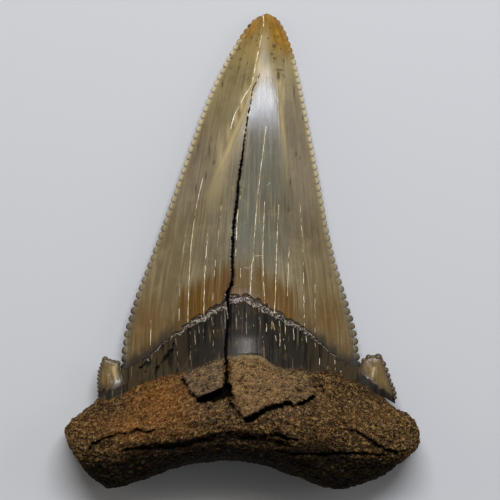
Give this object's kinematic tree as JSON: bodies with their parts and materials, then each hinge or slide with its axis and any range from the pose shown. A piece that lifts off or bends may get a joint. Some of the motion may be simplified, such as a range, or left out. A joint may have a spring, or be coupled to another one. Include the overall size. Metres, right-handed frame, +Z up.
{
  "type": "fossil shark tooth",
  "caption": "Broad triangular fossil shark tooth with serrated cutting edges, small side cusplets and a porous forked root, lying on its flatter face.",
  "frame": {"origin": "Centre of the bounding box's bottom: on the table, under the middle of the tooth's width and length.", "axes": "+Z up from the table through the inner face, +Y from the root to the tip along the length, +X across the tooth towards the right cusplet as seen from above."},
  "size_m": [0.0474, 0.0638, 0.014],
  "materials": {
    "fossil_tooth": "glossy enamel, matte porous root"
  },
  "bodies": {
    "root": {"shark_tooth": "fossil_tooth"}
  },
  "joints": []
}
